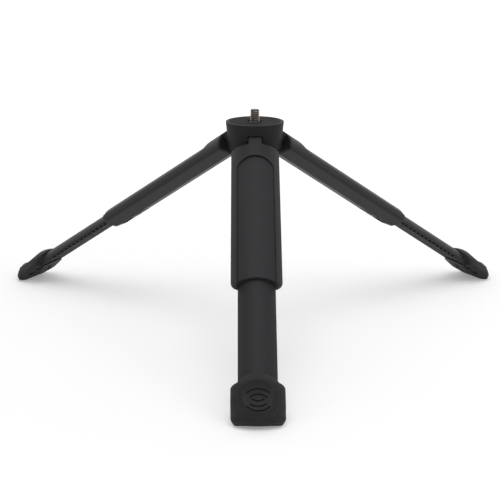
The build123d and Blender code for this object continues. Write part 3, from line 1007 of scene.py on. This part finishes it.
class TRIPOD_OT_stud(Operator):
    """Cuts the stud's thread, its hexagon head and the slot across its tip"""

    bl_idname = "tripod.stud"
    bl_label = "Cut the stud's thread"

    def execute(self, context):
        stud, finish = context.scene.tripod_stud, context.scene.tripod_finish
        low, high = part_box("mount_stud")
        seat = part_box("top_pad")[0].z
        columns = stud.steps
        head = hexagon_head(high.y - low.y, low.z, low.z + stud.head_height, stud.neck, columns)
        thread = thread_surface(
            STUD_RADIUS, stud.neck, stud.pitch, stud.depth, seat, high.z, stud.chamfer, columns
        )
        rows = np.concatenate([head, thread])
        vertices, faces = capped_tube(rows, (0.0, 0.0, low.z), (0.0, 0.0, high.z))
        piece = mesh_object("stud_thread", vertices, faces)
        cut_slot(piece, STUD_RADIUS, high.z, stud.slot_width, stud.slot_depth)
        piece.data.set_sharp_from_angle(angle=radians(32.0))
        steel = steel_material("stud steel", finish.stud_colour, roughness=0.24)
        # Painted shade darkens the thread toward its roots, down to an eighth of its colour.
        root = STUD_RADIUS - stud.depth
        paint_root_shade(steel, root, crest=root + SHADE_FREE_FROM * stud.depth, darkest=0.12)
        piece.data.materials.append(steel)
        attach(piece, "hub")
        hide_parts("mount_stud")
        return {"FINISHED"}


class TRIPOD_OT_pad(Operator):
    """Moulds the seat pad's slanting ribs, with dust on their tops"""

    bl_idname = "tripod.pad"
    bl_label = "Mould the seat pad"

    def execute(self, context):
        pad, finish = context.scene.tripod_pad, context.scene.tripod_finish
        low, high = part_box("top_pad")
        rows = ribbed_ring(
            (high.x - low.x) / 2.0, pad.eye, low.z, high.z, pad.rib_pitch, pad.rib_depth, pad.rib_turn,
            pad.edge, pad.steps, pad.rings,
        )
        faces = band_faces(len(rows), pad.steps, looped=True)
        piece = mesh_object("seat_pad", rows.reshape(-1, 3), faces)
        piece.data.set_sharp_from_angle(angle=radians(50.0))
        grain = 0.5 * finish.grain_size
        rubber = moulded_material(
            "pad rubber", finish.rubber_colour, grain, roughness=0.72, depth=0.01 * MM, gloss=0.12
        )
        lay_dust_and_highlight(rubber, high.z - pad.rib_depth, high.z, finish.worn_colour)
        piece.data.materials.append(rubber)
        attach(piece, "hub")
        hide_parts("top_pad")
        return {"FINISHED"}


class TRIPOD_OT_plastics(Operator):
    """Gives every moulded and rubber piece its finish"""

    bl_idname = "tripod.plastics"
    bl_label = "Finish plastic and rubber"

    def execute(self, context):
        finish = context.scene.tripod_finish
        grain = finish.grain_size
        leg = moulded_material(
            "leg plastic", finish.leg_colour, grain, roughness=0.46, depth=0.028 * MM, gloss=0.2,
            reach=1.2 * MM, cool=0.05,
        )
        hub = moulded_material(
            "hub plastic", finish.hub_colour, grain, roughness=0.50, depth=0.035 * MM, gloss=0.08
        )
        foot = moulded_material(
            "foot plastic", finish.foot_colour, 0.8 * grain, roughness=0.48, depth=0.02 * MM, gloss=0.15
        )
        sole = moulded_material(
            "sole rubber", finish.rubber_colour, 0.7 * grain, roughness=0.66, depth=0.03 * MM, gloss=0.25
        )
        latch = moulded_material(
            "latch plastic", finish.foot_colour, 0.6 * grain, roughness=0.36, depth=0.01 * MM, gloss=0.2
        )
        washer = moulded_material(
            "washer plastic", finish.washer_colour, grain, roughness=0.4, depth=0.004 * MM
        )
        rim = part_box("hub_body")[1].z
        # Painted highlight along the top of the hub's rim, where light catches its rounded edge.
        lay_dust_and_highlight(hub, rim - RIM_HIGHLIGHT_FROM, rim - RIM_HIGHLIGHT_FULL, finish.rim_highlight_colour)
        dress("hub_body", hub)
        dress("hub_cap", hub)
        for leg_name in LEGS:
            dress(f"leg_sleeve_{leg_name}", leg)
            dress(f"inner_leg_{leg_name}", leg)
            dress(f"foot_cap_{leg_name}", foot)
            dress(f"foot_pad_{leg_name}", sole)
            dress(f"latch_lever_{leg_name}", latch)
            dress(f"hinge_washers_{leg_name}", washer)
        return {"FINISHED"}


class TRIPOD_OT_ridges(Operator):
    """Raises the soft ridge round each foot's thumb dish"""

    bl_idname = "tripod.ridges"
    bl_label = "Raise the feet's ridges"

    def execute(self, context):
        ridge = context.scene.tripod_ridge
        aside, along = ridge_plan(ridge.half_width, ridge.start, ridge.bend, ridge.end, ridge.fullness)
        for leg in LEGS:
            hinge, down, across, out = leg_axes(leg)
            starts = hinge + along[:, None] * down + aside[:, None] * across + CLEAR_OUT * out
            depths = skin_depths(f"foot_cap_{leg}", starts, -out)
            if np.isnan(depths).any():
                raise RuntimeError(f"the ridge runs past the edge of foot_cap_{leg}")
            path = starts - (depths + ridge.sunk)[:, None] * out
            rows = swept_ridge(path, out, ridge.radius, ridge.steps)
            vertices, faces = capped_tube(rows, path[0], path[-1])
            piece = mesh_object(f"foot_ridge_{leg}", vertices, faces)
            piece.data.materials.append(bpy.data.materials["foot plastic"])
            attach(piece, f"inner_{leg}")
        return {"FINISHED"}


class TRIPOD_OT_metals(Operator):
    """Gives the pins, springs and screws their steel"""

    bl_idname = "tripod.metals"
    bl_label = "Finish metal"

    def execute(self, context):
        finish = context.scene.tripod_finish
        pin = steel_material("pin steel", finish.steel_colour, roughness=0.28)
        screw = steel_material("black screw", finish.screw_colour, roughness=0.34, metallic=0.9)
        dress("hub_screws", screw)
        for leg_name in LEGS:
            dress(f"hinge_pin_{leg_name}", pin)
            dress(f"latch_pin_{leg_name}", pin)
            dress(f"latch_spring_{leg_name}", pin)
            dress(f"foot_screw_{leg_name}", screw)
        return {"FINISHED"}


def build_floor(studio):
    """Lays the lit floor, faintly mottled, with a glow that grows with the distance from the tripod."""
    material, tree, shader = new_material("studio floor")
    noise = add_node(tree, "ShaderNodeTexNoise", {"Scale": 3.0})
    ramp = add_node(tree, "ShaderNodeValToRGB", {"Fac": noise.outputs["Fac"]})
    ramp.color_ramp.elements[0].color = (*(FLOOR_MOTTLE * c for c in studio.floor_colour), 1.0)
    ramp.color_ramp.elements[1].color = (*studio.floor_colour, 1.0)
    away = add_node(tree, "ShaderNodeVectorMath", {0: object_place(tree)}, operation="LENGTH")
    glow = ramped(
        tree, away.outputs["Value"], low=0.25, high=1.6, start=studio.near_glow, end=studio.far_glow
    )
    tree.links.new(ramp.outputs["Color"], shader.inputs["Base Color"])
    tree.links.new(glow, shader.inputs["Emission Strength"])
    shader.inputs["Emission Color"].default_value = WHITE
    shader.inputs["Roughness"].default_value = 0.9
    corners = ((-1, -1), (1, -1), (1, 1), (-1, 1))
    vertices = [(x * FLOOR_REACH, y * FLOOR_REACH, FLOOR_LEVEL) for x, y in corners]
    floor = mesh_object("floor", vertices, [(0, 1, 2, 3)], smooth=False)
    floor.data.materials.append(material)


def build_world(scene, studio):
    """Lights the scene evenly from all round, with a white band just above the floor's far edge."""
    world = bpy.data.worlds.new("studio")
    world.use_nodes = True
    tree = world.node_tree
    background = tree.nodes["Background"].inputs
    background["Color"].default_value = WHITE
    bearing = add_node(tree, "ShaderNodeTexCoord").outputs["Generated"]
    height = add_node(tree, "ShaderNodeSeparateXYZ", {0: bearing}).outputs["Z"]
    fade = ramped(
        tree, height, low=0.12, high=0.24, start=studio.horizon_strength, end=studio.world_strength,
        curve="SMOOTHSTEP",
    )
    tree.links.new(fade, background["Strength"])
    scene.world = world


def build_lights(scene, studio):
    """Hangs the softboxes, turned to face the tripod and unseen by the camera."""
    for side, place, width, height in SOFTBOXES:
        lamp = bpy.data.lights.new(f"softbox_{side}", "AREA")
        lamp.shape = "RECTANGLE"
        lamp.size = width
        lamp.size_y = height
        lamp.energy = getattr(studio, f"{side}_power")
        light = bpy.data.objects.new(f"softbox_{side}", lamp)
        light.location = place
        light.rotation_euler = (-Vector(place)).to_track_quat("-Z", "Y").to_euler()
        light.visible_camera = False
        scene.collection.objects.link(light)


def build_camera(scene, studio):
    """Sets up the camera in front of the tripod."""
    camera = bpy.data.cameras.new("camera")
    camera.lens = studio.lens
    camera.sensor_width = 36.0
    camera.clip_start = 0.05
    camera.clip_end = 50.0
    eye = bpy.data.objects.new("camera", camera)
    eye.location = studio.camera_place
    eye.rotation_euler = studio.camera_turn
    scene.collection.objects.link(eye)
    scene.camera = eye
    scene.view_settings.view_transform = "Standard"


class TRIPOD_OT_stage(Operator):
    """Builds the floor, the lights and the camera"""

    bl_idname = "tripod.stage"
    bl_label = "Build the studio"

    def execute(self, context):
        scene = context.scene
        build_floor(scene.tripod_studio)
        build_world(scene, scene.tripod_studio)
        build_lights(scene, scene.tripod_studio)
        build_camera(scene, scene.tripod_studio)
        return {"FINISHED"}


class TRIPOD_PT_panel(Panel):
    """Lists the tripod's settings and operators in the sidebar"""

    bl_idname = "TRIPOD_PT_panel"
    bl_label = "Tripod"
    bl_space_type = "VIEW_3D"
    bl_region_type = "UI"
    bl_category = "Tripod"

    def draw(self, context):
        layout = self.layout
        for group in SETTINGS:
            box = layout.box()
            settings = getattr(context.scene, group)
            for name in settings.__annotations__:
                box.prop(settings, name)
        for operator in OPERATORS:
            layout.operator(operator.bl_idname)


SETTINGS = {
    "tripod_finish": TripodFinish,
    "tripod_stud": TripodStud,
    "tripod_pad": TripodPad,
    "tripod_ridge": TripodRidge,
    "tripod_studio": TripodStudio,
}
OPERATORS = (
    TRIPOD_OT_stud,
    TRIPOD_OT_pad,
    TRIPOD_OT_plastics,
    TRIPOD_OT_ridges,
    TRIPOD_OT_metals,
    TRIPOD_OT_stage,
)
CLASSES = (*SETTINGS.values(), *OPERATORS, TRIPOD_PT_panel)


def register():
    """Registers the classes and hangs the settings on the scene."""
    for cls in CLASSES:
        bpy.utils.register_class(cls)
    for name, group in SETTINGS.items():
        setattr(bpy.types.Scene, name, PointerProperty(type=group))


def unregister():
    """Takes the settings off the scene and unregisters the classes."""
    for name in SETTINGS:
        delattr(bpy.types.Scene, name)
    for cls in reversed(CLASSES):
        bpy.utils.unregister_class(cls)


def main():
    """Registers the add-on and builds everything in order."""
    register()
    bpy.ops.tripod.stud()
    bpy.ops.tripod.pad()
    bpy.ops.tripod.plastics()
    bpy.ops.tripod.ridges()
    bpy.ops.tripod.metals()
    bpy.ops.tripod.stage()


if __name__ == "__main__":
    main()
